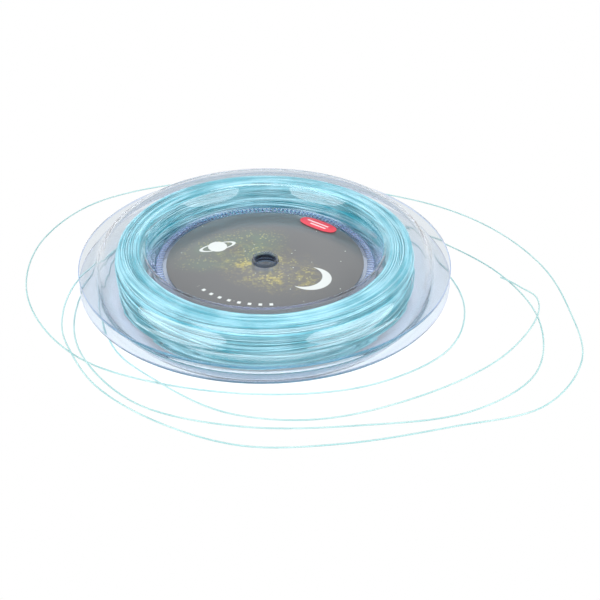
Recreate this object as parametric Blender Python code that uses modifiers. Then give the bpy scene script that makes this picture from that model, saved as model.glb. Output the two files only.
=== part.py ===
"""Clear plastic reel of racket string, with a loose length of string laid round it.

Two domed shells close over a ring of wound string. A sleeve on the upper shell fits the lower
shell's centre hole, and six pegs fit six holes. The sleeve also stands up through the round
label as a low lip. Each shell runs down inside the ring to a flat web, where the label lies, and
out over the ring to a thin brim. The string leaves the winding at a tangent, through the gap
between the two brims, and drops to the table.

Metres, +Z up. The origin is on the table, under the middle of the reel.
"""
import math

import bmesh
import bpy
import numpy as np
from mathutils import Matrix, Vector

# Driving sizes, in metres and degrees. Radii build up outwards, from the label to the brim.
STRING_DIAMETER = 0.0007
TURN_GAP = 0.00045            # clear space between two modelled turns
SHELL_WALL = 0.00135
WINDING_CLEARANCE = 0.00045   # between the winding and the shells
FIT_CLEARANCE = 0.0003        # between pieces that seat in or on each other

BORE_RADIUS = 0.0050
SLEEVE_WALL = 0.00085
LIP_HEIGHT = 0.0022           # the sleeve's lip above the upper web
LABEL_RADIUS = 0.04485
LABEL_THICKNESS = 0.0003
TRAY_MARGIN = 0.00495         # floor left bare round the label
HUB_LEAN = 0.00405            # how far the hub wall leans outwards as it rises
WINDING_DEPTH = 0.01125       # inner to outer radius of the wound string
WINDING_HEIGHT = 0.02265
SHOULDER_ROOM = 0.00305       # room left in the dome outside the winding's top corner
DOME_LEAN = 0.00535           # how far the dome's outer wall leans outwards as it falls
BRIM_WIDTH = 0.00735
BRIM_HALF_GAP = 0.00295       # the middle plane to a brim's inner face

FLOOR_FILLET = 0.00125
HUB_CORNER_ROUNDING = 0.00095  # inside radii, so that the wall keeps its thickness at a corner
SHOULDER_ROUNDING = 0.0034
BRIM_FILLET = 0.0034

PEG_COUNT = 6
PEG_RADIUS = 0.0021
PEG_CIRCLE_RADIUS = 0.0315

RIDGE_PITCH = 0.0027          # ridges for the bunches of turns that show on the winding
RIDGE_DEPTH = 0.0007

STICKER_LENGTH = 0.0194
STICKER_WIDTH = 0.00735
STICKER_THICKNESS = 0.0002
STICKER_ANGLE = 51.0          # round the label, from +X
STICKER_EDGE_MARGIN = 0.0005  # from the sticker to the label's edge

EXIT_ANGLE = 187.5            # where the string crosses the rim, from +X
LOOP_POINTS = 24
CLIMB_POINTS = 3              # points in which the last turn climbs onto the turns below

TURNED_STEPS = 48
ARC_STEPS = 3
PEG_SIDES = 12
STICKER_SIDES = 32

# Sizes worked out from the driving ones.
HOLE_RADIUS = BORE_RADIUS + SLEEVE_WALL + FIT_CLEARANCE   # in the lower web and the label
TRAY_RADIUS = LABEL_RADIUS + TRAY_MARGIN
HUB_TOP_RADIUS = TRAY_RADIUS + HUB_LEAN
WINDING_INNER_RADIUS = HUB_TOP_RADIUS + SHELL_WALL + WINDING_CLEARANCE
WINDING_OUTER_RADIUS = WINDING_INNER_RADIUS + WINDING_DEPTH
SHOULDER_RADIUS = WINDING_OUTER_RADIUS + SHELL_WALL + SHOULDER_ROOM
DOME_FOOT_RADIUS = SHOULDER_RADIUS + DOME_LEAN
RIM_RADIUS = DOME_FOOT_RADIUS + BRIM_WIDTH

WEB_FACE = FIT_CLEARANCE / 2 + SHELL_WALL          # heights above the middle plane
BRIM_FACE = BRIM_HALF_GAP + SHELL_WALL
DOME_TOP = WINDING_HEIGHT / 2 + WINDING_CLEARANCE + SHELL_WALL
MIDDLE_HEIGHT = DOME_TOP                           # the middle plane, above the table

# The loose string from where it has fallen clear of the rim to its cut end. It lies in four
# loops round the reel, and rises at each crossing to pass over a stretch that lies lower.
LOOSE_ROUTE = [
    (-0.0882, -0.0215, 0.0082), (-0.0888, -0.0336, 0.0031), (-0.0838, -0.0482, 0.0016),
    (-0.0704, -0.0719, 0.0004), (-0.0451, -0.0950, 0.0004), (-0.0105, -0.1113, 0.0004),
    (0.0284, -0.1113, 0.0004), (0.0725, -0.1021, 0.0004), (0.1108, -0.0905, 0.0004),
    (0.1336, -0.0593, 0.0004), (0.1365, -0.0215, 0.0004), (0.1318, 0.0158, 0.0004),
    (0.1150, 0.0504, 0.0004), (0.0903, 0.0751, 0.0004), (0.0525, 0.0935, 0.0004),
    (0.0042, 0.1045, 0.0004), (-0.0451, 0.1034, 0.0004), (-0.0877, 0.0830, 0.0004),
    (-0.1087, 0.0473, 0.0004), (-0.1109, 0.0063, 0.0004), (-0.0982, -0.0289, 0.0004),
    (-0.0756, -0.0556, 0.0004), (-0.0399, -0.0725, 0.0004), (0.0053, -0.0798, 0.0004),
    (0.0451, -0.0735, 0.0004), (0.0788, -0.0494, 0.0004), (0.0898, -0.0126, 0.0004),
    (0.0766, 0.0315, 0.0004), (0.0441, 0.0672, 0.0004), (-0.0042, 0.0798, 0.0004),
    (-0.0504, 0.0630, 0.0004), (-0.0782, 0.0210, 0.0004), (-0.0851, -0.0199, 0.0004),
    (-0.0769, -0.0546, 0.0016), (-0.0515, -0.0851, 0.0004), (-0.0105, -0.0998, 0.0004),
    (0.0368, -0.1003, 0.0004), (0.0809, -0.0929, 0.0004), (0.1118, -0.0688, 0.0004),
    (0.1212, -0.0284, 0.0004), (0.1103, 0.0095, 0.0004), (0.0840, 0.0420, 0.0004),
    (0.0483, 0.0704, 0.0004), (0.0021, 0.0840, 0.0004), (-0.0451, 0.0683, 0.0016),
    (-0.0693, 0.0347, 0.0012), (-0.0751, -0.0053, 0.0004), (-0.0656, -0.0451, 0.0004),
    (-0.0478, -0.0686, 0.0016), (-0.0168, -0.0908, 0.0004), (0.0199, -0.0961, 0.0004),
    (0.0630, -0.0819, 0.0004), (0.0998, -0.0567, 0.0004), (0.1208, -0.0273, 0.0016),
    (0.1231, -0.0115, 0.0014), (0.1181, -0.0046, 0.0016), (0.1138, 0.0009, 0.0016),
    (0.1098, 0.0053, 0.0013),
]
STRETCH_TURN = 26.0           # a stretch of the route that bends more gets a point halfway


def clear_scene():
    for item in list(bpy.data.objects):
        bpy.data.objects.remove(item, do_unlink=True)


def make_collection(name):
    collection = bpy.data.collections.new(name)
    bpy.context.scene.collection.children.link(collection)
    return collection


def make_material(name, colour, roughness, alpha=1.0, transmission=0.0):
    material = bpy.data.materials.new(name)
    material.use_nodes = True
    shader = material.node_tree.nodes["Principled BSDF"]
    shader.inputs["Base Color"].default_value = (*colour, 1.0)
    shader.inputs["Roughness"].default_value = roughness
    shader.inputs["Metallic"].default_value = 0.0
    shader.inputs["Alpha"].default_value = alpha
    shader.inputs["Transmission Weight"].default_value = transmission
    return material


def add_object(name, data, material, collection):
    part = bpy.data.objects.new(name, data)
    collection.objects.link(part)
    if material:
        data.materials.append(material)
    return part


def hide_guide(guide):
    guide.hide_render = True
    guide.display_type = "WIRE"


def add_guide(name, mesh, collection):
    guide = add_object(name, mesh, None, collection)
    hide_guide(guide)
    return guide


def rounded_profile(corners):
    """Turn (radius, height, rounding) corners into points, with an arc at each rounded corner."""
    points = []
    for index, (radius, height, rounding) in enumerate(corners):
        corner = Vector((radius, height))
        if rounding == 0.0:
            points.append(corner)
            continue
        before = Vector(corners[index - 1][:2]) - corner
        after = Vector(corners[(index + 1) % len(corners)][:2]) - corner
        half_angle = before.angle(after) / 2
        reach = rounding / math.tan(half_angle)
        longest = 0.49 * min(before.length, after.length)
        if reach > longest:
            reach = longest
            rounding = reach * math.tan(half_angle)
        middle = (before.normalized() + after.normalized()).normalized()
        centre = corner + middle * (rounding / math.sin(half_angle))
        first = corner + before.normalized() * reach - centre
        last = corner + after.normalized() * reach - centre
        sweep = first.angle_signed(last)
        for step in range(ARC_STEPS + 1):
            turn = Matrix.Rotation(-sweep * step / ARC_STEPS, 2)
            points.append(centre + turn @ first)
    return points


def turn_profile(name, points, closed, material, collection):
    """Spin (radius, height) points round the Z axis with a Screw modifier."""
    count = len(points)
    edges = [(index, index + 1) for index in range(count - 1)]
    if closed:
        edges.append((count - 1, 0))
    mesh = bpy.data.meshes.new(name)
    mesh.from_pydata([(point[0], 0.0, point[1]) for point in points], edges, [])
    part = add_object(name, mesh, material, collection)
    screw = part.modifiers.new("Turn", "SCREW")
    screw.axis = "Z"
    screw.angle = math.tau
    screw.steps = TURNED_STEPS
    screw.render_steps = TURNED_STEPS
    screw.use_merge_vertices = True
    screw.merge_threshold = 0.00001
    screw.use_smooth_shade = True
    part.location.z = MIDDLE_HEIGHT
    return part


def shell_corners(start_radius):
    """A shell's outer face, from near the axis to the rim, as heights above the middle plane."""
    return [
        (start_radius, WEB_FACE, 0.0),
        (TRAY_RADIUS, WEB_FACE, FLOOR_FILLET),
        (HUB_TOP_RADIUS, DOME_TOP, HUB_CORNER_ROUNDING + SHELL_WALL),
        (SHOULDER_RADIUS, DOME_TOP, SHOULDER_ROUNDING + SHELL_WALL),
        (DOME_FOOT_RADIUS, BRIM_FACE, BRIM_FILLET),
        (RIM_RADIUS, BRIM_FACE, 0.0),
    ]


def add_wall(part):
    wall = part.modifiers.new("Wall", "SOLIDIFY")
    wall.thickness = SHELL_WALL
    wall.offset = -1.0
    wall.use_even_offset = True


def add_boolean(part, guide, operation):
    boolean = part.modifiers.new(guide.name, "BOOLEAN")
    boolean.operation = operation
    boolean.solver = "EXACT"
    boolean.object = guide


def peg_mesh(name, radius, low, high):
    """Upright round pegs on the peg circle, between two heights above the middle plane."""
    mesh = bpy.data.meshes.new(name)
    shape = bmesh.new()
    for index in range(PEG_COUNT):
        angle = math.tau * index / PEG_COUNT
        place = Matrix.Translation((PEG_CIRCLE_RADIUS * math.cos(angle),
                                    PEG_CIRCLE_RADIUS * math.sin(angle),
                                    MIDDLE_HEIGHT + (low + high) / 2))
        bmesh.ops.create_cone(shape, cap_ends=True, segments=PEG_SIDES, radius1=radius,
                              radius2=radius, depth=high - low, matrix=place)
    shape.to_mesh(mesh)
    shape.free()
    return mesh


def make_shells(parts, guides):
    clear = make_material("clear_plastic", (0.86, 0.88, 0.93), 0.05, alpha=0.35, transmission=1.0)

    upper_points = rounded_profile(shell_corners(BORE_RADIUS + SLEEVE_WALL / 2))
    upper = turn_profile("upper_shell", upper_points, False, clear, parts)
    add_wall(upper)
    sleeve_radius = BORE_RADIUS + SLEEVE_WALL
    lip_top = WEB_FACE + LIP_HEIGHT
    sleeve = turn_profile("sleeve", [(BORE_RADIUS, lip_top), (sleeve_radius, lip_top),
                                     (sleeve_radius, -WEB_FACE), (BORE_RADIUS, -WEB_FACE)],
                          True, None, guides)
    hide_guide(sleeve)
    add_boolean(upper, sleeve, "UNION")
    pegs = add_guide("pegs", peg_mesh("pegs", PEG_RADIUS, -WEB_FACE, WEB_FACE - SHELL_WALL / 2),
                     guides)
    add_boolean(upper, pegs, "UNION")

    lower_points = [(radius, -height)
                    for radius, height in rounded_profile(shell_corners(HOLE_RADIUS))]
    lower_points.reverse()
    lower = turn_profile("lower_shell", lower_points, False, clear.copy(), parts)
    add_wall(lower)
    holes = add_guide("peg_holes", peg_mesh("peg_holes", PEG_RADIUS + FIT_CLEARANCE,
                                            -WEB_FACE - SHELL_WALL, 0.0), guides)
    add_boolean(lower, holes, "DIFFERENCE")


def make_label(parts):
    """The label is a printed card ring on the upper web, and the sticker lies on its edge."""
    low = WEB_FACE + FIT_CLEARANCE
    high = low + LABEL_THICKNESS
    printed = make_material("printed_card", (0.16, 0.17, 0.17), 0.25)
    turn_profile("label_disc", [(LABEL_RADIUS, high), (LABEL_RADIUS, low), (HOLE_RADIUS, low),
                                (HOLE_RADIUS, high)], True, printed, parts)

    angle = math.radians(STICKER_ANGLE)
    radius = LABEL_RADIUS - STICKER_EDGE_MARGIN - STICKER_WIDTH / 2
    height = MIDDLE_HEIGHT + high + FIT_CLEARANCE + STICKER_THICKNESS / 2
    mesh = bpy.data.meshes.new("oval_sticker")
    shape = bmesh.new()
    bmesh.ops.create_cone(shape, cap_ends=True, segments=STICKER_SIDES, radius1=0.5, radius2=0.5,
                          depth=1.0)
    size = Matrix.Diagonal((STICKER_WIDTH, STICKER_LENGTH, STICKER_THICKNESS, 1.0))
    bmesh.ops.transform(shape, matrix=size, verts=shape.verts)
    shape.to_mesh(mesh)
    shape.free()
    sticker = add_object("oval_sticker", mesh, make_material("red_film", (0.85, 0.08, 0.12), 0.3),
                         parts)
    sticker.location = (radius * math.cos(angle), radius * math.sin(angle), height)
    sticker.rotation_euler.z = angle


def winding_path():
    """The outer layer as one helix, from the bottom up, and a last turn that crosses back down.

    The last turn climbs onto the layer, runs down over it to the middle plane and ends straight,
    along the tangent that the string follows out through the gap between the brims.
    """
    layer_radius = WINDING_OUTER_RADIUS - STRING_DIAMETER / 2
    over_radius = layer_radius + STRING_DIAMETER + TURN_GAP
    top = WINDING_HEIGHT / 2 - STRING_DIAMETER / 2
    turns = max(1, int(2 * top / (STRING_DIAMETER + TURN_GAP)))
    leave_angle = math.radians(EXIT_ANGLE) - math.acos(over_radius / RIM_RADIUS)
    steps = turns * LOOP_POINTS
    points = []
    for step in range(steps + LOOP_POINTS + 1):
        angle = leave_angle + math.tau * (step - steps) / LOOP_POINTS
        if step <= steps:
            radius = layer_radius
            height = -top + 2 * top * step / steps
        else:
            part_turn = (step - steps) / LOOP_POINTS
            climb = min(1.0, (step - steps) / CLIMB_POINTS)
            radius = layer_radius + (over_radius - layer_radius) * climb
            height = top * (1 - part_turn ** 2 * (3 - 2 * part_turn))
        points.append(Vector((radius * math.cos(angle), radius * math.sin(angle),
                              MIDDLE_HEIGHT + height)))
    tangent = Vector((-math.sin(leave_angle), math.cos(leave_angle), 0.0))
    points.append(points[-1] + tangent * STRING_DIAMETER)
    return points, tangent


def least_gap(points):
    """The least clear space between turns, from each point to the turns that it isn't part of."""
    places = np.array(points)
    starts = places[:-1]
    runs = places[1:] - starts
    squares = (runs ** 2).sum(axis=1)
    least = math.inf
    for index, place in enumerate(places):
        along = ((place - starts) * runs).sum(axis=1) / squares
        nearest = starts + np.clip(along, 0.0, 1.0)[:, None] * runs
        distance = np.linalg.norm(nearest - place, axis=1)
        apart = np.abs(np.arange(len(starts)) - index) > LOOP_POINTS // 2
        least = min(least, distance[apart].min())
    return least - STRING_DIAMETER


def make_tube(name, points, resolution, material, collection):
    curve = bpy.data.curves.new(name, "CURVE")
    curve.dimensions = "3D"
    curve.bevel_depth = STRING_DIAMETER / 2
    curve.bevel_resolution = resolution
    curve.use_fill_caps = True
    spline = curve.splines.new("POLY")
    spline.points.add(len(points) - 1)
    for target, point in zip(spline.points, points):
        target.co = (*point, 1.0)
    return add_object(name, curve, material, collection)


def ridge_points(start, end, inward):
    """The points between two places of a section, with even ridges and a valley at each end."""
    count = max(1, round((end - start).length / RIDGE_PITCH))
    points = []
    for index in range(count):
        points.append(start + (end - start) * (index + 0.5) / count + inward * RIDGE_DEPTH)
        points.append(start + (end - start) * (index + 1) / count)
    return points[:-1]


def core_section(outer):
    """The inner layers' section: plain where the outer layer lies on it, and ridged elsewhere."""
    half = WINDING_HEIGHT / 2
    edge = STRING_DIAMETER
    corners = rounded_profile([(outer, half, edge), (outer, -half, edge),
                               (WINDING_INNER_RADIUS, -half, 0.0),
                               (WINDING_INNER_RADIUS, half, 0.0)])
    outside, low_corner, high_corner = corners[:-2], corners[-2], corners[-1]
    up, across = Vector((0.0, 1.0)), Vector((1.0, 0.0))
    return (outside + ridge_points(outside[-1], low_corner, up)
            + [low_corner] + ridge_points(low_corner, high_corner, across)
            + [high_corner] + ridge_points(high_corner, outside[0], -up))


def make_winding(parts):
    """The wound string: a ridged ring for the inner layers, and the outer layer as real turns."""
    string = make_material("string_aqua", (0.24, 0.62, 0.68), 0.35)
    layer_radius = WINDING_OUTER_RADIUS - STRING_DIAMETER / 2
    flat_radius = layer_radius * math.cos(math.pi / LOOP_POINTS)
    outer = flat_radius - STRING_DIAMETER / 2 - FIT_CLEARANCE
    turn_profile("string_core", core_section(outer), True, string, parts)

    path, tangent = winding_path()
    make_tube("string_layer", path, 1, string.copy(), parts)
    print(f"string_layer: least gap to itself {least_gap(path) * 1000:.3f} mm")
    return path[-1], tangent


def smooth_path(points):
    """A smooth curve through the points (centripetal Catmull-Rom), read twice where it bends."""
    ends = [points[0] * 2 - points[1]] + points + [points[-1] * 2 - points[-2]]
    path = []
    for index in range(1, len(ends) - 2):
        before, start, end, after = ends[index - 1:index + 3]
        knots = [math.sqrt((b - a).length) for a, b in ((before, start), (start, end),
                                                        (end, after))]
        leave = knots[1] * ((start - before) / knots[0] - (end - before) / (knots[0] + knots[1])
                            + (end - start) / knots[1])
        arrive = knots[1] * ((end - start) / knots[1] - (after - start) / (knots[1] + knots[2])
                             + (after - end) / knots[2])
        path.append(start)
        if leave.angle(arrive) > math.radians(STRETCH_TURN):
            middle = (start + end) / 2 + (leave - arrive) / 8
            middle.z = max(middle.z, STRING_DIAMETER / 2)
            path.append(middle)
    path.append(points[-1])
    return path


def make_loose_string(winding_end, tangent, parts):
    """The free string starts face to face with the winding's end and runs out between the brims."""
    start = winding_end + tangent * FIT_CLEARANCE
    past_rim = math.sqrt(RIM_RADIUS ** 2 - winding_end.xy.length_squared)
    inside = start + tangent * past_rim / 2
    rim = start + tangent * past_rim
    route = [start, inside, rim] + [Vector(point) for point in LOOSE_ROUTE]
    path = smooth_path(route)
    length = sum((b - a).length for a, b in zip(path, path[1:]))
    string = make_material("string_aqua_loose", (0.24, 0.62, 0.68), 0.35)
    make_tube("loose_string", path, 2, string, parts)
    print(f"loose_string: {len(path)} points, {length:.3f} m")


def main():
    clear_scene()
    parts = make_collection("string_reel")
    guides = make_collection("guides")
    make_shells(parts, guides)
    make_label(parts)
    winding_end, tangent = make_winding(parts)
    make_loose_string(winding_end, tangent, parts)
    print(f"rim radius {RIM_RADIUS * 1000:.1f} mm, height {2 * MIDDLE_HEIGHT * 1000:.1f} mm")


main()
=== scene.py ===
# %% [markdown]
# # A reel of racket string
# Racket string is sold by the reel: two clear plastic shells with about 200 metres of thin string
# wound between them, and a printed card in the sunken middle. Here the reel lies on a table, with
# the end of its string in loose loops. This lesson dresses a solid model of it. The solids already
# stand in the scene at their true size, in metres, and every new piece is made to fit them.

# %% Load the solids
import math

import bmesh
import bpy
from mathutils import Matrix, Vector, noise


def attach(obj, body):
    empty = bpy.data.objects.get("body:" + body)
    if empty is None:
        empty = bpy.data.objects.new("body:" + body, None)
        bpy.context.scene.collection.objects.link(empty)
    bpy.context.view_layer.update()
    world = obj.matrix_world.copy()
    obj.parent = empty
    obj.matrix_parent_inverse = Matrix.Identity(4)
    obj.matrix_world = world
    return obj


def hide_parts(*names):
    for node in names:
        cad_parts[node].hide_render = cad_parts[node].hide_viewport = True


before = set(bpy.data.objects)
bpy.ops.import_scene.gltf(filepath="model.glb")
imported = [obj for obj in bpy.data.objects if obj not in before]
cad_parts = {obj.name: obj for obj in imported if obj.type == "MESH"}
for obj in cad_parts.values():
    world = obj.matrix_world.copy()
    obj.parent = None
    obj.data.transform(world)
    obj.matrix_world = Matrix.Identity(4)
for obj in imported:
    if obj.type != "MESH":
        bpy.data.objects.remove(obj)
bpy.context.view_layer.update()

MM = 0.001
print("solids:", ", ".join(sorted(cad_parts)))

# %% [markdown]
# ## The camera
# The photograph looks down on the reel at about 31 degrees from half a metre away, with a long
# lens. A camera can be turned by hand until the picture fits, but the reel's round outlines give
# its place more exactly: how flat they look gives the tilt, and how they lean gives the turn. The
# small roll levels the rim.

# %% Add the camera
CAMERA_PLACE = (0.0, -466.29 * MM, 301.48 * MM)
CAMERA_TILT = 0.583365        # below level, in radians, like the turn and the roll
CAMERA_TURN = -0.034108
CAMERA_ROLL = 0.0055596

bpy.ops.object.camera_add(location=CAMERA_PLACE)
camera = bpy.context.object
camera.name = "camera"
look = (Matrix.Rotation(CAMERA_TURN, 4, "Z") @ Matrix.Rotation(math.pi / 2 - CAMERA_TILT, 4, "X")
        @ Matrix.Rotation(CAMERA_ROLL, 4, "Z"))
camera.rotation_euler = look.to_euler()
camera.data.lens = 72.1
camera.data.sensor_width = 36.0
camera.data.clip_start = 0.01
bpy.context.scene.camera = camera
print("camera at", tuple(round(value, 3) for value in camera.location))

# %% [markdown]
# ## Helpers for the nodes of a material
# A material can be built from its nodes one by one, with a line for each setting and each link,
# but then it is hard to see what it does. With a few helpers each node takes one line, which
# reads like a sum.

# %% Material helpers
def srgb(red, green, blue):
    """The linear colour of an 8-bit screen colour."""
    values = []
    for value in (red, green, blue):
        value /= 255
        values.append(value / 12.92 if value <= 0.04045 else ((value + 0.055) / 1.055) ** 2.4)
    return (*values, 1.0)


def new_material(name):
    material = bpy.data.materials.new(name)
    material.use_nodes = True
    return material, material.node_tree, material.node_tree.nodes["Principled BSDF"]


def add_node(tree, kind, settings=None, inputs=None):
    """Add a node. An input is a value, or another node's output to link."""
    node = tree.nodes.new(kind)
    for name, value in (settings or {}).items():
        setattr(node, name, value)
    for name, value in (inputs or {}).items():
        if isinstance(value, bpy.types.NodeSocket):
            tree.links.new(value, node.inputs[name])
        else:
            node.inputs[name].default_value = value
    return node


def object_place(tree):
    """The place on the piece, in metres."""
    return add_node(tree, "ShaderNodeTexCoord").outputs["Object"]


def add_math(tree, operation, first, second=0.0, clamp=False):
    node = add_node(tree, "ShaderNodeMath", {"operation": operation, "use_clamp": clamp},
                    {0: first, 1: second})
    return node.outputs[0]


def add_vector_math(tree, operation, *vectors):
    """Sums with vectors. LENGTH gives a value, and the others give a vector."""
    node = add_node(tree, "ShaderNodeVectorMath", {"operation": operation},
                    dict(enumerate(vectors)))
    return node.outputs["Value" if operation == "LENGTH" else "Vector"]


def add_noise(tree, place, scale, detail):
    node = add_node(tree, "ShaderNodeTexNoise", None,
                    {"Vector": place, "Scale": scale, "Detail": detail})
    return node.outputs["Fac"]


def change_range(tree, value, old, new=(0.0, 1.0), curve="LINEAR"):
    """Stretch a value from its old range to a new one, and stop at the ends."""
    node = add_node(tree, "ShaderNodeMapRange", {"interpolation_type": curve},
                    {"Value": value, 1: old[0], 2: old[1], 3: new[0], 4: new[1]})
    return node.outputs[0]


def mix_colours(tree, amount, first, second):
    node = add_node(tree, "ShaderNodeMix", {"data_type": "RGBA"}, {0: amount, 6: first, 7: second})
    return node.outputs[2]


# %% [markdown]
# An effect that several materials share, such as the shades of the string, is a node group. It is
# built once, and each material places it with its own values.

# %% Helpers for node groups
def new_group(name, inputs, outputs):
    """A node group with named values in and out, and the nodes that hold them."""
    group = bpy.data.node_groups.new(name, "ShaderNodeTree")
    for socket, value in inputs.items():
        group.interface.new_socket(socket, in_out="INPUT",
                                   socket_type="NodeSocketFloat").default_value = value
    for socket in outputs:
        group.interface.new_socket(socket, in_out="OUTPUT", socket_type="NodeSocketFloat")
    return group, add_node(group, "NodeGroupInput"), add_node(group, "NodeGroupOutput")


def place_group(tree, group, inputs):
    return add_node(tree, "ShaderNodeGroup", {"node_tree": group}, inputs)


# %% [markdown]
# ## The string's finish
# Racket string is nylon with a thin dyed coat. It is aqua and softly shiny. The dye isn't even
# along 200 metres, so slow noise makes it paler and deeper, and fine noise stands for the fibres
# that show under the coat. On the winding each turn is also painted paler or deeper, which is
# painted light and shade: the glints on some turns and the shade between them. A picture could be
# laid on the string for that, but it would show its seams and repeats. Noise that changes quickly
# across the turns, and slowly along them, has none.

# %% Build the group of string shades, with painted light and shade on the turns
SHADE_ACROSS_TURNS = 900.0    # how quickly the shade changes, per metre of radius or height
SHADE_ALONG_TURNS = 1.6       # and per radian round the reel


def painted_turn_shades(tree, place):
    """A paler or deeper colour for each turn, painted light and shade, from noise in four
    dimensions: two run round the reel, two across.
    """
    flat = add_vector_math(tree, "MULTIPLY", place, (1.0, 1.0, 0.0))
    radius = add_math(tree, "MULTIPLY", add_vector_math(tree, "LENGTH", flat), SHADE_ACROSS_TURNS)
    around = add_vector_math(tree, "NORMALIZE", flat)
    parts = add_node(tree, "ShaderNodeSeparateXYZ", None, {0: place})
    height = add_math(tree, "MULTIPLY", parts.outputs["Z"], SHADE_ACROSS_TURNS)
    third = add_node(tree, "ShaderNodeCombineXYZ", None, {"Z": radius}).outputs[0]
    spot = add_vector_math(tree, "MULTIPLY_ADD", around,
                           (SHADE_ALONG_TURNS, SHADE_ALONG_TURNS, 0.0), third)
    return add_node(tree, "ShaderNodeTexNoise", {"noise_dimensions": "4D"},
                    {"Vector": spot, "W": height, "Scale": 1.0, "Detail": 1.0}).outputs["Fac"]


def build_string_group():
    """Turn share is how much of the shade comes from the turns' painted light and shade. The rest
    is slow dye noise.
    """
    group, given, result = new_group("string shades", {"Turn share": 0.0}, ("Shade", "Fibres"))
    place = object_place(group)
    share = given.outputs["Turn share"]
    slow_share = add_math(group, "SUBTRACT", 1.0, share)
    slow_part = add_math(group, "MULTIPLY", add_noise(group, place, 70.0, 3.0), slow_share)
    turn_part = add_math(group, "MULTIPLY", painted_turn_shades(group, place), share)
    group.links.new(add_math(group, "ADD", slow_part, turn_part), result.inputs["Shade"])
    group.links.new(add_noise(group, place, 2600.0, 2.0), result.inputs["Fibres"])
    return group


string_group = build_string_group()
print("group", string_group.name, "with", len(string_group.nodes), "nodes")

# %% Make the string's materials
WOUND_SHARE = 0.65


def make_string_material(name, pale, deep, turn_share):
    material, tree, shader = new_material(name)
    string = place_group(tree, string_group, {"Turn share": turn_share}).outputs
    paleness = change_range(tree, string["Shade"], (0.38, 0.60))
    tree.links.new(mix_colours(tree, paleness, deep, pale), shader.inputs["Base Color"])
    rough = change_range(tree, string["Fibres"], (0.0, 1.0), (0.24, 0.36))
    tree.links.new(rough, shader.inputs["Roughness"])
    bump = add_node(tree, "ShaderNodeBump", None,
                    {"Strength": 0.12, "Distance": 0.1 * MM, "Height": string["Fibres"]})
    tree.links.new(bump.outputs[0], shader.inputs["Normal"])
    return material


loose_finish = make_string_material("aqua string", srgb(174, 207, 207), srgb(152, 194, 195), 0.0)
# The wound string is the same string as the loose end, made deeper: painted shade for the light
# lost among the turns, and its deep colour is the painted shade between them.
wound_shaded_finish = make_string_material("aqua string, wound, painted shade", srgb(170, 220, 227),
                                    srgb(40, 152, 165), WOUND_SHARE)
print("made", loose_finish.name, "and", wound_shaded_finish.name)

# %% [markdown]
# ## The loose string
# The end of the string comes off the winding through the gap between the brims, drops to the
# table and lies round the reel in four easy loops. It could be pushed along as a tube in edit
# mode, but a curve with a round bevel stays even in every bend and gives its own length. Its
# route is a list of points, chosen so that the loops lie as in the photograph. Where the
# string passes over itself, the upper stretch rises in a long low hump.

# %% Lay out the loose string
REEL_RADIUS = 84.0            # in millimetres, as are all sizes of the turned pieces
REEL_HALF_HEIGHT = 13.125
MIDDLE = REEL_HALF_HEIGHT * MM                   # the reel's middle plane above the table
STRING_DIAMETER = 0.70 * MM
OVER_RADIUS = 67.70 * MM      # the centreline of the last turn, which lies on the others
BRIM_ANGLE = math.radians(187.5)                 # where the string passes the brims' edge
LEAVE_ANGLE = BRIM_ANGLE - math.acos(OVER_RADIUS / (REEL_RADIUS * MM))
EXIT_GAP = 0.3 * MM           # from the end of the winding to the loose string

loose_route = [
    (-0.0882, -0.0215, 0.0082), (-0.0888, -0.0336, 0.0031), (-0.0838, -0.0482, 0.0016),
    (-0.0704, -0.0719, 0.0004), (-0.0451, -0.0950, 0.0004), (-0.0105, -0.1113, 0.0004),
    (0.0284, -0.1113, 0.0004), (0.0725, -0.1021, 0.0004), (0.1108, -0.0905, 0.0004),
    (0.1336, -0.0593, 0.0004), (0.1365, -0.0215, 0.0004), (0.1318, 0.0158, 0.0004),
    (0.1150, 0.0504, 0.0004), (0.0903, 0.0751, 0.0004), (0.0525, 0.0935, 0.0004),
    (0.0042, 0.1045, 0.0004), (-0.0451, 0.1034, 0.0004), (-0.0877, 0.0830, 0.0004),
    (-0.1087, 0.0473, 0.0004), (-0.1109, 0.0063, 0.0004), (-0.0982, -0.0289, 0.0004),
    (-0.0756, -0.0556, 0.0004), (-0.0399, -0.0725, 0.0004), (0.0053, -0.0798, 0.0004),
    (0.0451, -0.0735, 0.0004), (0.0788, -0.0494, 0.0004), (0.0898, -0.0126, 0.0004),
    (0.0766, 0.0315, 0.0004), (0.0441, 0.0672, 0.0004), (-0.0042, 0.0798, 0.0004),
    (-0.0504, 0.0630, 0.0004), (-0.0782, 0.0210, 0.0004), (-0.0851, -0.0199, 0.0004),
    (-0.0769, -0.0546, 0.0016), (-0.0515, -0.0851, 0.0004), (-0.0105, -0.0998, 0.0004),
    (0.0368, -0.1003, 0.0004), (0.0809, -0.0929, 0.0004), (0.1118, -0.0688, 0.0004),
    (0.1212, -0.0284, 0.0004), (0.1103, 0.0095, 0.0004), (0.0840, 0.0420, 0.0004),
    (0.0483, 0.0704, 0.0004), (0.0021, 0.0840, 0.0004), (-0.0451, 0.0683, 0.0016),
    (-0.0693, 0.0347, 0.0012), (-0.0751, -0.0053, 0.0004), (-0.0656, -0.0451, 0.0004),
    (-0.0478, -0.0686, 0.0016), (-0.0168, -0.0908, 0.0004), (0.0199, -0.0961, 0.0004),
    (0.0630, -0.0819, 0.0004), (0.0998, -0.0567, 0.0004), (0.1208, -0.0273, 0.0016),
    (0.1231, -0.0115, 0.0014), (0.1181, -0.0046, 0.0016), (0.1138, 0.0009, 0.0016),
    (0.1098, 0.0053, 0.0013),
]


def polar(radius, angle, height):
    return Vector((radius * math.cos(angle), radius * math.sin(angle), height))


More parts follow.
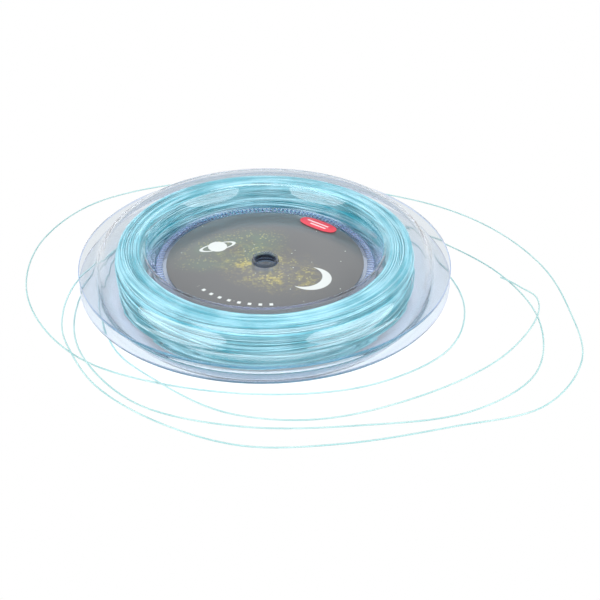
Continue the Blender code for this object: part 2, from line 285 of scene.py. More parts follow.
leave_tangent = Vector((-math.sin(LEAVE_ANGLE), math.cos(LEAVE_ANGLE), 0.0))
winding_end = polar(OVER_RADIUS, LEAVE_ANGLE, MIDDLE) + leave_tangent * STRING_DIAMETER
string_exit = winding_end + leave_tangent * EXIT_GAP
past_rim = math.sqrt((REEL_RADIUS * MM) ** 2 - winding_end.xy.length_squared)
route = [string_exit, string_exit + leave_tangent * past_rim / 2,
         string_exit + leave_tangent * past_rim] + [Vector(point) for point in loose_route]
print(len(route), "route points, from", tuple(round(value, 4) for value in string_exit))

# %% Read a smooth curve through the route
def smooth_points(points, pieces):
    """Centripetal Catmull-Rom: a curve through the points that doesn't overshoot at close ones."""
    ends = [points[0] * 2 - points[1]] + points + [points[-1] * 2 - points[-2]]
    smooth = []
    for before, start, end, after in zip(ends, ends[1:], ends[2:], ends[3:]):
        knots = [math.sqrt((b - a).length) for a, b in ((before, start), (start, end),
                                                        (end, after))]
        leave = knots[1] * ((start - before) / knots[0] - (end - before) / (knots[0] + knots[1])
                            + (end - start) / knots[1])
        arrive = knots[1] * ((end - start) / knots[1] - (after - start) / (knots[1] + knots[2])
                             + (after - end) / knots[2])
        for step in range(pieces):
            t = step / pieces
            point = (start * (2 * t ** 3 - 3 * t ** 2 + 1) + leave * (t ** 3 - 2 * t ** 2 + t)
                     + end * (3 * t ** 2 - 2 * t ** 3) + arrive * (t ** 3 - t ** 2))
            point.z = max(point.z, STRING_DIAMETER / 2)
            smooth.append(point)
    return smooth + [points[-1]]


def path_length(points):
    return sum((b - a).length for a, b in zip(points, points[1:]))


def add_string(name, points, sides, material):
    """A round string along the points, as one open curve."""
    curve = bpy.data.curves.new(name, "CURVE")
    curve.dimensions = "3D"
    curve.bevel_depth = STRING_DIAMETER / 2
    curve.bevel_resolution = sides // 2 - 2
    curve.use_fill_caps = True
    spline = curve.splines.new("POLY")
    spline.points.add(len(points) - 1)
    for target, point in zip(spline.points, points):
        target.co = (*point, 1.0)
    piece = bpy.data.objects.new(name, curve)
    bpy.context.collection.objects.link(piece)
    curve.materials.append(material)
    print(f"{name}: {len(points)} points, {path_length(points):.3f} m")
    return piece


loose_points = smooth_points(route, 8)
loose_string = add_string("loose_string_end", loose_points, 8, loose_finish)
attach(loose_string, "root")
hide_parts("loose_string")

# %% [markdown]
# ## The wound string
# About 200 metres of string fill the space between the shells, and only the skin of it shows. A
# ring with a pattern of lines would look flat against the light, and to model every layer would
# be a waste. So the skin is one long string that goes round and round while it creeps along the
# edge of the winding's cross section: out along the top, down the outside, in along the bottom
# and up the hub. Noise draws turns together and lets some sink under others, because real turns
# bunch and cross.

# %% Outline the winding's cross section
SKIN_INNER, SKIN_OUTER = 56.07 * MM, 66.20 * MM
SKIN_HALF, SKIN_CORNER = 10.83 * MM, 1.0 * MM
CORNER_STEPS = 6


def section_points():
    """Points round the section, as (radius, height), from the top of its hub side outwards."""
    corner = SKIN_CORNER
    low_r, high_r, high = SKIN_INNER + corner, SKIN_OUTER - corner, SKIN_HALF - corner
    points = []
    for radius, height, start in ((low_r, high, 180), (high_r, high, 90), (high_r, -high, 0),
                                  (low_r, -high, -90)):
        for step in range(CORNER_STEPS + 1):
            turn = math.radians(start - 90 * step / CORNER_STEPS)
            points.append(Vector((radius + corner * math.cos(turn),
                                  height + corner * math.sin(turn))))
    return points + [points[0]]


def place_along(points, distance):
    """The place and the inward direction at a distance along a closed outline."""
    for first, second in zip(points, points[1:]):
        run = (second - first).length
        if distance <= run:
            direction = (second - first).normalized()
            return first + direction * distance, Vector((direction.y, -direction.x))
        distance -= run
    return points[-1].copy(), Vector((1.0, 0.0))


section = section_points()
section_length = path_length(section)
print(f"the section is {section_length / MM:.1f} mm round")

# %% Wind the skin
TURN_PITCH = STRING_DIAMETER
TURN_POINTS = 96
BUNCHING = 1.2 * MM           # how far noise moves a turn along the section
SINKING = 0.55 * MM           # how far noise sinks a turn into the winding
SINK_MIDDLE, SINK_SWING = 0.5, 0.9               # in parts of SINKING, around the noise's zero
BUNCH_SIZE, SINK_SIZE = 2.3 * MM, 1.5 * MM       # the width of a bunch and of a hollow
NOISE_RADIUS, NOISE_START = 1.3, 3.0             # the circle that a turn makes in the noise
SINK_START = 40               # reads another part of the noise


def wind_skin():
    turns = int(section_length / TURN_PITCH)
    points = []
    for step in range(turns * TURN_POINTS):
        angle = math.tau * step / TURN_POINTS
        distance = section_length * step / (turns * TURN_POINTS)
        spot = Vector((math.cos(angle) * NOISE_RADIUS,
                       math.sin(angle) * NOISE_RADIUS + NOISE_START, distance / BUNCH_SIZE))
        shift = BUNCHING * noise.noise(spot)
        spot.z = distance / SINK_SIZE + SINK_START
        sink = SINKING * (SINK_MIDDLE + SINK_SWING * noise.noise(spot))
        place, inward = place_along(section, (distance + shift) % section_length)
        place += inward * max(0.0, sink)
        points.append(polar(place.x, angle, MIDDLE + place.y))
    return points


skin = add_string("wound_string_skin", wind_skin(), 6, wound_shaded_finish)
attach(skin, "root")

# %% [markdown]
# The last turns of a reel lie over the others, and not side by side, because the winder lets the
# string wander when the reel is nearly full. They cross in long slants, which the photograph
# shows clearly in front, so noise wouldn't do. Each key below says where the string is a number
# of turns before its end. The last turn runs down to the middle plane and leads out to the loose
# end.

# %% Wind the last turns
last_keys = [                 # turns before the end, height from the middle plane, lift, in mm
    (7.40, 10.0, 0.00), (7.00, 8.6, 0.35), (6.50, 6.6, 0.40), (6.05, 4.4, 0.38), (5.60, 2.5, 0.42),
    (5.15, 0.2, 0.40), (4.70, -4.0, 0.42), (4.25, -6.7, 0.40), (3.90, -8.3, 0.38),
    (3.45, -6.9, 0.50), (3.05, -3.8, 0.75), (2.70, -0.6, 0.85), (2.40, 3.6, 0.80),
    (2.10, 6.9, 0.70), (1.87, 7.7, 0.65), (1.60, 6.7, 0.75), (1.30, 6.2, 0.85), (1.05, 6.0, 0.95),
    (0.92, 5.7, 1.05), (0.850, 5.5, 1.15), (0.825, 4.8, 1.20), (0.811, 3.7, 1.22),
    (0.784, 3.0, 1.25), (0.766, 2.2, 1.25), (0.747, 1.5, 1.25), (0.731, 0.2, 1.28),
    (0.716, -0.9, 1.30), (0.696, -2.2, 1.35), (0.676, -3.2, 1.40), (0.62, -4.0, 1.40),
    (0.50, -3.4, 1.45), (0.35, -2.0, 1.45), (0.20, -0.8, 1.50), (0.08, -0.1, 1.50),
    (0.00, 0.0, 1.50),
]


def last_turn_points(keys):
    """Read the keys at even steps, from the first turn to the exit, and even out the corners."""
    points = []
    count = int(keys[0][0] * TURN_POINTS)
    for step in range(count + 1):
        left = keys[0][0] * (1 - step / count)
        for (turn_a, high_a, lift_a), (turn_b, high_b, lift_b) in zip(keys, keys[1:]):
            if turn_a >= left >= turn_b:
                t = (turn_a - left) / (turn_a - turn_b)
                break
        radius = SKIN_OUTER + (lift_a + (lift_b - lift_a) * t) * MM
        height = (high_a + (high_b - high_a) * t) * MM
        points.append(Vector((radius, LEAVE_ANGLE - math.tau * left, height)))
    for _ in range(3):
        inner = [(a + b * 2 + c) / 4 for a, b, c in zip(points, points[1:], points[2:])]
        points = [points[0]] + inner + [points[-1]]
    return [polar(point.x, point.y, MIDDLE + point.z) for point in points]


last_points = last_turn_points(last_keys)
last_turns = add_string("wound_string_last_turns", last_points + [winding_end], 6, wound_shaded_finish)
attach(last_turns, "root")
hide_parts("string_layer")

# %% [markdown]
# ## The turned pieces
# The shells, the label and the heart of the winding are all round. They could be built up from
# cylinders and cut with others, but then every rounded corner is a job of its own. So each is
# drawn as half a cross section and spun. One vertex is extruded from point to point round the
# section, and the rounded corners come from a small function, as a draughtsman would draw them.

# %% Round the corners of an outline
def rounded_outline(corners, arc_steps):
    """Turn closed (radius, height, rounding) corners in millimetres into points with arcs."""
    points = []
    for index, (radius, height, rounding) in enumerate(corners):
        corner = Vector((radius, height))
        if rounding == 0:
            points.append(corner)
            continue
        before = (Vector(corners[index - 1][:2]) - corner).normalized()
        after = (Vector(corners[(index + 1) % len(corners)][:2]) - corner).normalized()
        half_angle = before.angle(after) / 2
        reach = rounding / math.tan(half_angle)
        centre = corner + (before + after).normalized() * (rounding / math.sin(half_angle))
        first, last = corner + before * reach - centre, corner + after * reach - centre
        sweep = first.angle_signed(last)
        points += [centre + Matrix.Rotation(-sweep * step / arc_steps, 2) @ first
                   for step in range(arc_steps + 1)]
    return points


# %% Spin an outline
SMOOTH_BELOW = math.radians(35)                  # a sharper edge than this stays sharp


def deselect_all():
    if bpy.context.object and bpy.context.object.mode == "EDIT":
        bpy.ops.object.mode_set(mode="OBJECT")
    bpy.ops.object.select_all(action="DESELECT")


def spin_outline(name, corners, arc_steps, steps, material):
    """Draw a closed outline by extruding a vertex, close it and spin it."""
    outline = rounded_outline(corners, arc_steps)
    points = [Vector((point.x * MM, 0.0, MIDDLE + point.y * MM)) for point in outline]
    deselect_all()
    bpy.ops.mesh.primitive_plane_add(size=1.0 * MM)
    piece = bpy.context.object
    piece.name = piece.data.name = name
    bpy.ops.object.mode_set(mode="EDIT")
    bpy.ops.mesh.merge(type="CENTER")
    bpy.ops.transform.translate(value=points[0])
    for start, end in zip(points, points[1:]):
        bpy.ops.mesh.extrude_vertices_move(TRANSFORM_OT_translate={"value": end - start})
    bpy.ops.mesh.select_all(action="SELECT")
    edit = bmesh.from_edit_mesh(piece.data)
    ends = [vertex for vertex in edit.verts if len(vertex.link_edges) == 1]
    bpy.ops.mesh.select_all(action="DESELECT")
    for vertex in ends:
        vertex.select = True
    bpy.ops.mesh.edge_face_add()
    bpy.ops.mesh.select_all(action="SELECT")
    bpy.ops.mesh.spin(steps=steps, angle=math.tau, center=(0, 0, 0), axis=(0, 0, 1))
    bpy.ops.mesh.select_all(action="SELECT")
    bpy.ops.mesh.remove_doubles(threshold=0.002 * MM)
    bpy.ops.mesh.normals_make_consistent(inside=False)
    bpy.ops.object.mode_set(mode="OBJECT")
    bpy.ops.object.shade_smooth_by_angle(angle=SMOOTH_BELOW)
    piece.data.materials.append(material)
    print(f"{name}: {len(piece.data.polygons)} faces")
    return piece


# %% [markdown]
# Under the skin lies the heart of the winding. It shows only as the darker string between two
# turns, so a plain ring is enough. Its deeper colour is painted shade.

# %% Spin the heart of the winding
HEART_INNER, HEART_OUTER, HEART_HALF, HEART_CORNER = 57.0, 65.3, 9.9, 0.6

heart_shade_finish = make_string_material("aqua string in shade", srgb(60, 194, 205),
                                    srgb(38, 158, 171), WOUND_SHARE)
heart_corners = [(HEART_OUTER, HEART_HALF, HEART_CORNER), (HEART_OUTER, -HEART_HALF, HEART_CORNER),
                 (HEART_INNER, -HEART_HALF, HEART_CORNER), (HEART_INNER, HEART_HALF, HEART_CORNER)]
heart = spin_outline("wound_string_heart", heart_corners, 3, 128, heart_shade_finish)
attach(heart, "root")
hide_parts("string_core")

# %% [markdown]
# ## Clear plastic
# The shells are moulded in clear polystyrene. The walls are thin and even, so they hardly bend
# what is seen through them, and most of their look is the gloss on both faces, which a coat
# gives. They could have the full bending of solid glass all over, but it shows only where the
# plastic is thick or tightly curved, so most faces have a weak one. Slow noise makes the gloss a
# little uneven, as on a moulding that has been handled. Light from the lamps passes straight
# through, because a renderer can't follow a small lamp through curved walls, and so does light
# that has met many walls.

# %% Build the group of the moulded surface
def build_moulding_group():
    group, given, result = new_group("moulded unevenness", {"Scale": 40.0}, ("Unevenness",))
    uneven = add_noise(group, object_place(group), given.outputs["Scale"], 2.0)
    group.links.new(uneven, result.inputs["Unevenness"])
    return group


moulding_group = build_moulding_group()
print("group", moulding_group.name, "with", len(moulding_group.nodes), "nodes")

# %% [markdown]
# Where light runs a long way inside the plastic, at the rims, at the foot of the hub and in the
# bore, it is bent and trapped, and real polystyrene looks blue or violet there. Three more
# finishes paint that with deeper tints, which are painted shade in place of the bent light. The
# last two are for the round corner at the top of the hub and for the fine ribs, where the light is
# bent as solid polystyrene bends it. The ribs also have a deeper tint, painted shade as well.

# %% Make the clear plastics
SHADOW_TINT = (0.94, 0.95, 0.97, 1.0)            # of light that passes straight through
TRAPPED_TINT = (0.88, 0.90, 0.97, 1.0)           # of light that has met many walls
MANY_WALLS = 5.5
THIN_WALL, SOLID_PLASTIC = 1.12, 1.45            # how strongly the light is bent


def make_clear_material(name, tint, bending=THIN_WALL):
    material, tree, shader = new_material(name)
    uneven = place_group(tree, moulding_group, {"Scale": 42.0}).outputs["Unevenness"]
    bump = add_node(tree, "ShaderNodeBump", None,
                    {"Strength": 0.10, "Distance": 0.6 * MM, "Height": uneven})
    shader.inputs["Base Color"].default_value = tint
    shader.inputs["IOR"].default_value = bending
    shader.inputs["Transmission Weight"].default_value = 1.0
    shader.inputs["Coat Weight"].default_value = 1.0
    shader.inputs["Coat IOR"].default_value = 1.48
    shader.inputs["Coat Roughness"].default_value = 0.03
    rough = change_range(tree, uneven, (0.0, 1.0), (0.05, 0.10))
    tree.links.new(rough, shader.inputs["Roughness"])
    for socket in ("Normal", "Coat Normal"):
        tree.links.new(bump.outputs[0], shader.inputs[socket])
    path = add_node(tree, "ShaderNodeLightPath").outputs
    trapped = add_math(tree, "GREATER_THAN", path["Ray Depth"], MANY_WALLS)
    clear = add_node(tree, "ShaderNodeBsdfTransparent", None,
                     {"Color": mix_colours(tree, trapped, SHADOW_TINT, TRAPPED_TINT)})
    through = add_math(tree, "MAXIMUM", path["Is Shadow Ray"], trapped)
    mix = add_node(tree, "ShaderNodeMixShader", None,
                   {0: through, 1: shader.outputs[0], 2: clear.outputs[0]})
    tree.links.new(mix.outputs[0], tree.nodes["Material Output"].inputs["Surface"])
    return material


PLASTIC_TINT = srgb(225, 231, 236)
clear_finish = make_clear_material("clear plastic", PLASTIC_TINT)
rim_tint_painted = make_clear_material("clear plastic, edges, painted tint", srgb(184, 204, 238))
pale_tint_painted = make_clear_material("clear plastic, pale edges, painted tint", srgb(212, 217, 235))
deep_tint_painted = make_clear_material("clear plastic, deep, painted tint", srgb(190, 214, 234))
corner_finish = make_clear_material("clear plastic, corner", PLASTIC_TINT, SOLID_PLASTIC)
rib_tint_painted = make_clear_material("clear plastic, ribs, painted tint", srgb(172, 194, 232), SOLID_PLASTIC)
print("made", clear_finish.name, "and its variants")

# %% [markdown]
# ## The shells
# Each shell is one wall, 1.35 mm thick: a flat web in the middle, a hub wall that leans out, a
# broad rounded dome over the string and a thin flat brim. The hub and dome walls bow out by a
# third of a millimetre, as moulded walls do, which gives their highlights curved ends. A Solidify
# modifier could give the thickness, but the brim and the sleeve have edges of their own, so the
# air side is drawn, and the string side is worked out from it. The upper shell also has the
# sleeve that centres the label and fits the lower shell's hole.

# %% Draw the shells' outlines
WALL = 1.35
WEB_TOP = 1.50                # heights are from the middle plane, and radii from the axis
WEB_UNDER = WEB_TOP - WALL
HUB_FOOT, HUB_CREST = 49.80, 53.85
DOME_CREST, DOME_FOOT = 71.30, 76.65
BRIM_TOP, BRIM_ROUNDING = 4.30, 0.45
SLEEVE_BORE, SLEEVE_OUTER, LIP_TOP = 5.0, 5.85, 3.7
FIT_GAP = 0.3                 # between two pieces that fit or lie on each other
HOLE_RADIUS = SLEEVE_OUTER + FIT_GAP

air_side = [(HUB_FOOT, WEB_TOP, 1.25), (50.88, 6.34, 35.0), (HUB_CREST, REEL_HALF_HEIGHT, 2.3),
            (DOME_CREST, REEL_HALF_HEIGHT, 4.75), (74.47, 9.01, 22.0), (DOME_FOOT, BRIM_TOP, 3.4)]
string_side_turns = [2.6, 33.65, 0.95, 3.4, 20.65, 4.75]


def string_side(corners, turns, start, end):
    """The same corners moved in by the wall's thickness, from the brim back to the web."""
    line = [Vector(start)] + [Vector(corner[:2]) for corner in corners] + [Vector(end)]
    moved = []
    for before, corner, after, turn in zip(line, line[1:], line[2:], turns):
        first, second = (corner - before).normalized(), (after - corner).normalized()
        normals = [Vector((way.y, -way.x)) for way in (first, second)]
        miter = (normals[0] + normals[1]).normalized()
        point = corner + miter * (WALL / miter.dot(normals[0]))
        moved.append((point.x, point.y, turn))
    return moved[::-1]


under_side = string_side(air_side, string_side_turns, (10.0, WEB_TOP), (REEL_RADIUS, BRIM_TOP))
brim = [(REEL_RADIUS, BRIM_TOP, BRIM_ROUNDING), (REEL_RADIUS, BRIM_TOP - WALL, BRIM_ROUNDING)]
sleeve = [(SLEEVE_OUTER, WEB_UNDER, 0.2), (SLEEVE_OUTER, -WEB_TOP, 0.15),
          (SLEEVE_BORE, -WEB_TOP, 0.15), (SLEEVE_BORE, LIP_TOP, 0.3), (SLEEVE_OUTER, LIP_TOP, 0.3),
          (SLEEVE_OUTER, WEB_TOP, 0.2)]
hole = [(HOLE_RADIUS, WEB_UNDER, 0.15), (HOLE_RADIUS, WEB_TOP, 0.3)]
upper_outline = air_side + brim + under_side + sleeve
lower_outline = [(radius, -height, turn)
                 for radius, height, turn in air_side + brim + under_side + hole][::-1]
print(len(upper_outline), "and", len(lower_outline), "corners")

# %% [markdown]
# A finish belongs to faces, not to a whole shell, so each face asks where in the section it is.

# %% Spin the shells and choose their faces' finishes
# The rims, the pale places and the bore get the finishes with painted tints, which stand for light
# bent in thick plastic.
RIM_START = 83.4
LIP_END, BORE_END = 6.0, 5.2
FOOT_START, FOOT_END, FOOT_TOP = 48.7, 51.0, 3.0
CORNER_START, CORNER_END, CORNER_FOOT, CORNER_TOP = 51.6, 54.6, 10.6, 13.0
UPRIGHT = 0.05                # a normal with less rise than this belongs to an upright face
CLEAR, RIM, PALE, DEEP, CORNER = range(5)


def face_finish(face):
    """Which finish a face of a shell has, from its place in the section."""
    radius, height = face.center.xy.length / MM, abs(face.center.z - MIDDLE) / MM
    if radius > RIM_START:
        return RIM
    if radius < BORE_END:
        return DEEP
    if radius < LIP_END or (FOOT_START < radius < FOOT_END and height < FOOT_TOP):
        return PALE
    at_corner = CORNER_START < radius < CORNER_END and height > CORNER_FOOT
    looks_in = face.normal.xy.dot(face.center.xy) <= 0.0
    if at_corner and abs(face.normal.z) > UPRIGHT and (looks_in or height > CORNER_TOP):
        return CORNER
    return CLEAR


upper_shell = spin_outline("upper_shell_clear", upper_outline, 8, 192, clear_finish)
lower_shell = spin_outline("lower_shell_clear", lower_outline, 8, 192, clear_finish)
# The upper rim gets the deeper painted tint, and the lower rim the paler one.
for shell, node, rim_painted_tint in ((upper_shell, "upper_shell", rim_tint_painted),
                                (lower_shell, "lower_shell", pale_tint_painted)):
    for finish in (rim_painted_tint, pale_tint_painted, deep_tint_painted, corner_finish):
        shell.data.materials.append(finish)
    for face in shell.data.polygons:
        face.material_index = face_finish(face)
    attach(shell, "root")
    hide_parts(node)

# %% [markdown]
# A ring of fine ribs stands on the web between the label and the hub wall, like the milled edge
# of a coin. An Array modifier could repeat a rib, but spinning one small bevelled block without
# joining the steps copies it all the way round at once.

# %% Add the ring of ribs
RIB_COUNT = 150
RIB_RADIUS = 47.95            # from the axis to a rib's middle
RIB_LENGTH, RIB_WIDTH, RIB_HEIGHT, RIB_BEVEL = 3.1, 1.0, 0.5, 0.18
RIB_GAP = 0.05                # above the web, so that no two faces share a plane

rib_middle = WEB_TOP + RIB_GAP + RIB_HEIGHT / 2
deselect_all()
bpy.ops.mesh.primitive_cube_add(size=1.0,
                                location=(RIB_RADIUS * MM, 0.0, MIDDLE + rib_middle * MM))
ribs = bpy.context.object
ribs.name = ribs.data.name = "web_ribs"
ribs.scale = (RIB_LENGTH * MM, RIB_WIDTH * MM, RIB_HEIGHT * MM)
bpy.ops.object.transform_apply(location=True, rotation=True, scale=True)
bpy.ops.object.mode_set(mode="EDIT")
bpy.ops.mesh.select_all(action="SELECT")
bpy.ops.mesh.bevel(offset=RIB_BEVEL * MM, segments=2, affect="EDGES")
bpy.ops.mesh.select_all(action="SELECT")
bpy.ops.mesh.spin(steps=RIB_COUNT - 1, dupli=True, angle=math.tau * (RIB_COUNT - 1) / RIB_COUNT,
                  center=(0, 0, 0), axis=(0, 0, 1))
bpy.ops.object.mode_set(mode="OBJECT")
bpy.ops.object.shade_smooth_by_angle(angle=SMOOTH_BELOW)
# The ribs' deeper tint is painted shade, for light bent in the thick plastic.
ribs.data.materials.append(rib_tint_painted)
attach(ribs, "root")
print("web_ribs:", len(ribs.data.polygons), "faces")

# %% [markdown]
# ## The label
# The label is a printed card disc: a night sky in dark grey, with a haze of green, a dusting of
# gold, a pale crescent, a small planet with a ring and a row of stars. A drawn picture would need
# a file beside the lesson. Here the print is made of noise, and of distances on the disc in
# millimetres, so it is sharp at any size.

# %% Helpers for the print
def distance_from(tree, flat, x, y, turn=0.0, squash=1.0):
    """The distance from a point on the disc, which grows faster across the turned line."""
    moved = add_node(tree, "ShaderNodeMapping", {"vector_type": "TEXTURE"},
                     {"Vector": flat, "Location": (x, y, 0.0),
                      "Rotation": (0.0, 0.0, math.radians(turn)), "Scale": (1.0, squash, 1.0)})
    return add_vector_math(tree, "LENGTH", moved.outputs[0])


def fade_out(tree, value, near, far):
    """One up to the near value, and then softly down to nothing at the far one."""
    return change_range(tree, value, (near, far), (1.0, 0.0), "SMOOTHSTEP")


def add_ring(tree, distance, radius, half_width):
    off = add_math(tree, "ABSOLUTE", add_math(tree, "SUBTRACT", distance, radius))
    return fade_out(tree, off, half_width * 0.5, half_width)


def add_specks(tree, place, scale, size, share):
    """Dots in some of the cells of a Voronoi texture. The size is in cells."""
    cells = add_node(tree, "ShaderNodeTexVoronoi", None, {"Vector": place, "Scale": scale})
    dot = change_range(tree, cells.outputs["Distance"], (size, size * 0.4))
    pick = add_node(tree, "ShaderNodeTexWhiteNoise", None, {"Vector": cells.outputs["Position"]})
    chosen = add_math(tree, "LESS_THAN", pick.outputs["Value"], share)
    return add_math(tree, "MULTIPLY", dot, chosen)


def paint(tree, colour, mask, strength, paint_colour):
    return mix_colours(tree, add_math(tree, "MULTIPLY", mask, strength), colour, paint_colour)


# %% Paint the sky
SKY_GREY, HAZE_GREEN = srgb(99, 101, 103), srgb(108, 142, 118)
DUST_BROWN, DUST_GOLD = srgb(128, 124, 84), srgb(196, 184, 96)
SPARK_GOLD, STAR_WHITE = srgb(214, 206, 128), srgb(214, 222, 218)


def paint_sky(tree, place, flat):
    """Dark grey with a haze of green, a dusting of gold and a few far stars."""
    green_side = fade_out(tree, distance_from(tree, flat, -16.0, 10.0, 25.0, 0.6), 2.0, 34.0)
    gold_side = fade_out(tree, distance_from(tree, flat, 2.0, -6.0, -35.0, 0.65), 4.0, 34.0)
    haze_cloud = change_range(tree, add_noise(tree, place, 55.0, 4.0), (0.30, 0.62))
    dust_cloud = change_range(tree, add_noise(tree, place, 90.0, 5.0), (0.34, 0.62))
    grain = change_range(tree, add_noise(tree, place, 420.0, 4.0), (0.48, 0.64))
    haze = add_math(tree, "MULTIPLY", green_side, haze_cloud)
    dust = add_math(tree, "MULTIPLY", gold_side, dust_cloud)
    sparks = add_math(tree, "MULTIPLY", add_math(tree, "MAXIMUM", haze, dust),
                      add_specks(tree, place, 760.0, 0.42, 0.50))
    colour = paint(tree, SKY_GREY, haze, 0.75, HAZE_GREEN)
    colour = paint(tree, colour, dust, 0.5, DUST_BROWN)
    colour = paint(tree, colour, add_math(tree, "MULTIPLY", dust, grain), 0.85, DUST_GOLD)
    colour = paint(tree, colour, sparks, 0.9, SPARK_GOLD)
    return paint(tree, colour, add_specks(tree, place, 330.0, 0.13, 0.20), 0.9, STAR_WHITE)


# %% Paint the crescent, the planet and the row of stars
MOON_WHITE = srgb(226, 232, 232)
PLANET_X, PLANET_Y = -22.0, 13.0
ROW_RADIUS = 36.0
ROW_BEAT = 24.0               # half waves of the sine round the disc, one star on each crest


def paint_motifs(tree, flat, colour):
    crescent = add_math(tree, "SUBTRACT",
                        fade_out(tree, distance_from(tree, flat, 20.0, -15.5), 9.2, 9.6),
                        fade_out(tree, distance_from(tree, flat, 16.6, -13.5), 8.6, 9.0),
                        clamp=True)
    globe = fade_out(tree, distance_from(tree, flat, PLANET_X, PLANET_Y), 4.2, 4.6)
    band = add_ring(tree, distance_from(tree, flat, PLANET_X, PLANET_Y, 24.0, 0.35), 8.2, 1.1)
    planet = add_math(tree, "MAXIMUM", globe, band)
    parts = add_node(tree, "ShaderNodeSeparateXYZ", None, {0: flat})
    around = add_math(tree, "ARCTAN2", parts.outputs["Y"], parts.outputs["X"])
    wave = add_math(tree, "SINE", add_math(tree, "MULTIPLY", around, ROW_BEAT))
    off_crest = add_math(tree, "SUBTRACT", 1.0, add_math(tree, "ABSOLUTE", wave))
    off_front = add_math(tree, "ABSOLUTE", add_math(tree, "ADD", around, 2.0))
    row = add_math(tree, "MULTIPLY",
                   add_ring(tree, add_vector_math(tree, "LENGTH", flat), ROW_RADIUS, 1.1),
                   fade_out(tree, off_front, 0.52, 0.54))
    stars = add_math(tree, "MULTIPLY", row, fade_out(tree, off_crest, 0.06, 0.20))
    colour = paint(tree, colour, crescent, 0.85, MOON_WHITE)
    colour = paint(tree, colour, planet, 0.85, MOON_WHITE)
    return paint(tree, colour, stars, 0.9, MOON_WHITE)


# %% Make the label
LABEL_RADIUS, LABEL_THICKNESS, LABEL_EDGE = 44.85, 0.3, 0.1
LABEL_LOW = WEB_TOP + FIT_GAP
LABEL_HIGH = LABEL_LOW + LABEL_THICKNESS


def make_label_material():
    material, tree, shader = new_material("printed card")
    place = object_place(tree)
    flat = add_vector_math(tree, "MULTIPLY", place, (1 / MM, 1 / MM, 0.0))
    colour = paint_motifs(tree, flat, paint_sky(tree, place, flat))
    tree.links.new(colour, shader.inputs["Base Color"])
    rough = change_range(tree, add_noise(tree, place, 60.0, 3.0), (0.3, 0.7), (0.16, 0.26))
    tree.links.new(rough, shader.inputs["Roughness"])
    shader.inputs["Coat Weight"].default_value = 0.5
    shader.inputs["Coat Roughness"].default_value = 0.05
    return material


label_corners = [(HOLE_RADIUS, LABEL_LOW, 0.0), (LABEL_RADIUS, LABEL_LOW, 0.0),
                 (LABEL_RADIUS, LABEL_HIGH, LABEL_EDGE), (HOLE_RADIUS, LABEL_HIGH, LABEL_EDGE)]
label = spin_outline("label_card", label_corners, 2, 128, make_label_material())
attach(label, "root")
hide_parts("label_disc")

# %% [markdown]
# ## The sticker
# A small full oval of red film lies on the label near its edge. Its two pale bars stand for
# print. They could be pieces of their own, but print has no thickness, so they are part of the
# material, measured from the sticker's middle.

# %% Make the film
STICKER_TURN = math.radians(51)
STICKER_RADIUS = 40.58        # from the axis to the sticker's middle
STICKER_WIDTH, STICKER_LENGTH, STICKER_THICKNESS, STICKER_BEVEL = 7.6, 20.2, 0.2, 0.06
PRINTED_BARS = ((0.9, 0.8, 6.0), (-1.1, -0.6, 4.4))      # middle across and along, half length
BAR_HALF_WIDTH = 0.45

film_height = LABEL_HIGH + FIT_GAP + STICKER_THICKNESS / 2
sticker_middle = polar(STICKER_RADIUS * MM, STICKER_TURN, MIDDLE + film_height * MM)


def make_film_material():
    material, tree, shader = new_material("red film")
    place = object_place(tree)
    grain = add_noise(tree, place, 500.0, 3.0)
    colour = mix_colours(tree, grain, srgb(206, 50, 70), srgb(220, 78, 94))
    local = add_node(tree, "ShaderNodeMapping", {"vector_type": "TEXTURE"},
                     {"Vector": place, "Location": sticker_middle,
                      "Rotation": (0.0, 0.0, STICKER_TURN), "Scale": (MM, MM, MM)})
    parts = add_node(tree, "ShaderNodeSeparateXYZ", None, {0: local.outputs[0]}).outputs
    for bar_x, bar_y, half_length in PRINTED_BARS:
        inside = []
        for axis, middle, half in (("X", bar_x, BAR_HALF_WIDTH), ("Y", bar_y, half_length)):
            off = add_math(tree, "ABSOLUTE", add_math(tree, "SUBTRACT", parts[axis], middle))
            inside.append(add_math(tree, "LESS_THAN", off, half))
        bar = add_math(tree, "MULTIPLY", *inside)
        colour = paint(tree, colour, bar, 0.8, srgb(240, 222, 224))
    tree.links.new(colour, shader.inputs["Base Color"])
    rough = change_range(tree, grain, (0.0, 1.0), (0.25, 0.4))
    tree.links.new(rough, shader.inputs["Roughness"])
    return material


film_finish = make_film_material()
print("made", film_finish.name, "with", len(PRINTED_BARS), "bars")

# %% [markdown]
# The sticker's outline is fuller than an ellipse. A cylinder gives the points, and raising their
# coordinates to a power below one pushes them towards the corners.

# %% Cut the sticker
FULLNESS = 0.78

deselect_all()
bpy.ops.mesh.primitive_cylinder_add(vertices=64, radius=1.0, depth=1.0)
sticker = bpy.context.object
sticker.name = sticker.data.name = "oval_film"
for vertex in sticker.data.vertices:
    vertex.co.x, vertex.co.y = (math.copysign(abs(value) ** FULLNESS, value) / 2
                                for value in vertex.co.xy)
sticker.scale = (STICKER_WIDTH * MM, STICKER_LENGTH * MM, STICKER_THICKNESS * MM)
sticker.rotation_euler.z = STICKER_TURN
sticker.location = sticker_middle
bpy.ops.object.transform_apply(location=True, rotation=True, scale=True)
edge = sticker.modifiers.new("edge", "BEVEL")
edge.width = STICKER_BEVEL * MM
edge.segments = 2
bpy.ops.object.modifier_apply(modifier=edge.name)
bpy.ops.object.shade_smooth_by_angle(angle=math.radians(40))
sticker.data.materials.append(film_finish)
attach(sticker, "root")
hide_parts("oval_sticker")
print("oval_film:", len(sticker.data.polygons), "faces")

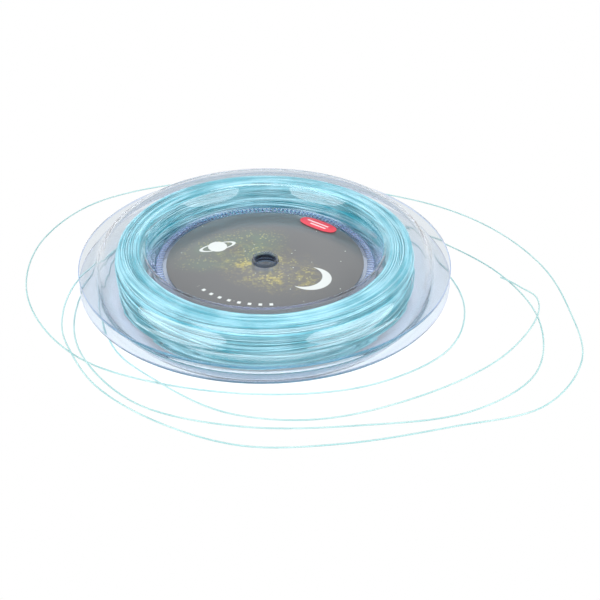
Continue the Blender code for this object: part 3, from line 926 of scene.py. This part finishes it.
# %% [markdown]
# ## The studio
# The reel was photographed on a white table in soft light, with the white overexposed. A plain
# white floor under plain lamps would turn grey away from the reel. So the floor keeps the reel's
# shadow near it, and farther out it is seen as evenly white. The world is a pale even light, and
# is seen as white too.

# %% Lay the table
SHADOW_END, WHITE_START = 0.04, 0.11             # metres from the reel's axis
NEAR_GLOW = 0.1               # how much of the even white is mixed in near the reel


def seen_directly(tree):
    """One where a surface is looked at, also by reflection or through the clear plastic."""
    path = add_node(tree, "ShaderNodeLightPath").outputs
    by_plastic = add_math(tree, "MAXIMUM", path["Is Glossy Ray"], path["Is Transmission Ray"])
    return add_math(tree, "MAXIMUM", path["Is Camera Ray"], by_plastic)


deselect_all()
bpy.ops.mesh.primitive_circle_add(vertices=128, radius=3.0, fill_type="NGON",
                                  location=(0.0, 0.0, -0.1 * MM))
floor = bpy.context.object
floor.name = "white_table"
floor_finish, tree, shader = new_material("white card")
shader.inputs["Base Color"].default_value = (0.96, 0.96, 0.96, 1.0)
shader.inputs["Roughness"].default_value = 0.9
shader.inputs["Specular IOR Level"].default_value = 0.0
from_reel = add_vector_math(tree, "LENGTH", object_place(tree))
glow = change_range(tree, from_reel, (SHADOW_END, WHITE_START), (NEAR_GLOW, 1.0), "SMOOTHSTEP")
white = add_node(tree, "ShaderNodeEmission")
blend = add_node(tree, "ShaderNodeMixShader", None,
                 {0: add_math(tree, "MULTIPLY", seen_directly(tree), glow),
                  1: shader.outputs[0], 2: white.outputs[0]})
tree.links.new(blend.outputs[0], tree.nodes["Material Output"].inputs["Surface"])
floor.data.materials.append(floor_finish)
print("floor at", round(floor.location.z / MM, 3), "mm")

# %% Light the world
WORLD_LIGHT, WORLD_SEEN = 0.40, 1.0

world = bpy.data.worlds.new("studio")
bpy.context.scene.world = world
world.use_nodes = True
tree = world.node_tree
background = tree.nodes["Background"]
strength = change_range(tree, seen_directly(tree), (0.0, 1.0), (WORLD_LIGHT, WORLD_SEEN))
background.inputs["Color"].default_value = (1.0, 1.0, 1.0, 1.0)
tree.links.new(strength, background.inputs["Strength"])
print("world light", WORLD_LIGHT)

# %% [markdown]
# Two large oval soft boxes stand at the left and right of the camera, and a third hangs above.
# Their mirror images are the pale patches on the dome and in the hub, so their shape and place
# come from the patches in the photograph. A lamp's energy follows from how bright its face looks.

# %% Set up the soft boxes
def add_soft_box(name, azimuth, elevation, distance, width, height, radiance):
    """An oval lamp that faces the reel. Azimuth is from the camera's side, to the right."""
    turn, rise = math.radians(azimuth - 90), math.radians(elevation)
    place = Vector((math.cos(turn) * math.cos(rise), math.sin(turn) * math.cos(rise),
                    math.sin(rise))) * distance
    bpy.ops.object.light_add(type="AREA", location=place,
                             rotation=place.to_track_quat("Z", "Y").to_euler())
    lamp = bpy.context.object
    lamp.name = name
    lamp.data.shape = "ELLIPSE"
    lamp.data.size, lamp.data.size_y = width, height
    area = width * height * math.pi / 4
    lamp.data.energy = radiance * math.pi * area
    print(f"{name}: {lamp.data.energy:.1f} W")


add_soft_box("soft_box_left", -58, 25, 1.2, 1.39, 0.76, 3.1)
add_soft_box("soft_box_right", 58, 25, 1.2, 1.39, 0.76, 3.1)
add_soft_box("soft_box_above", 0, 84, 1.3, 1.3, 1.1, 3.3)
bpy.context.scene.view_settings.view_transform = "Standard"
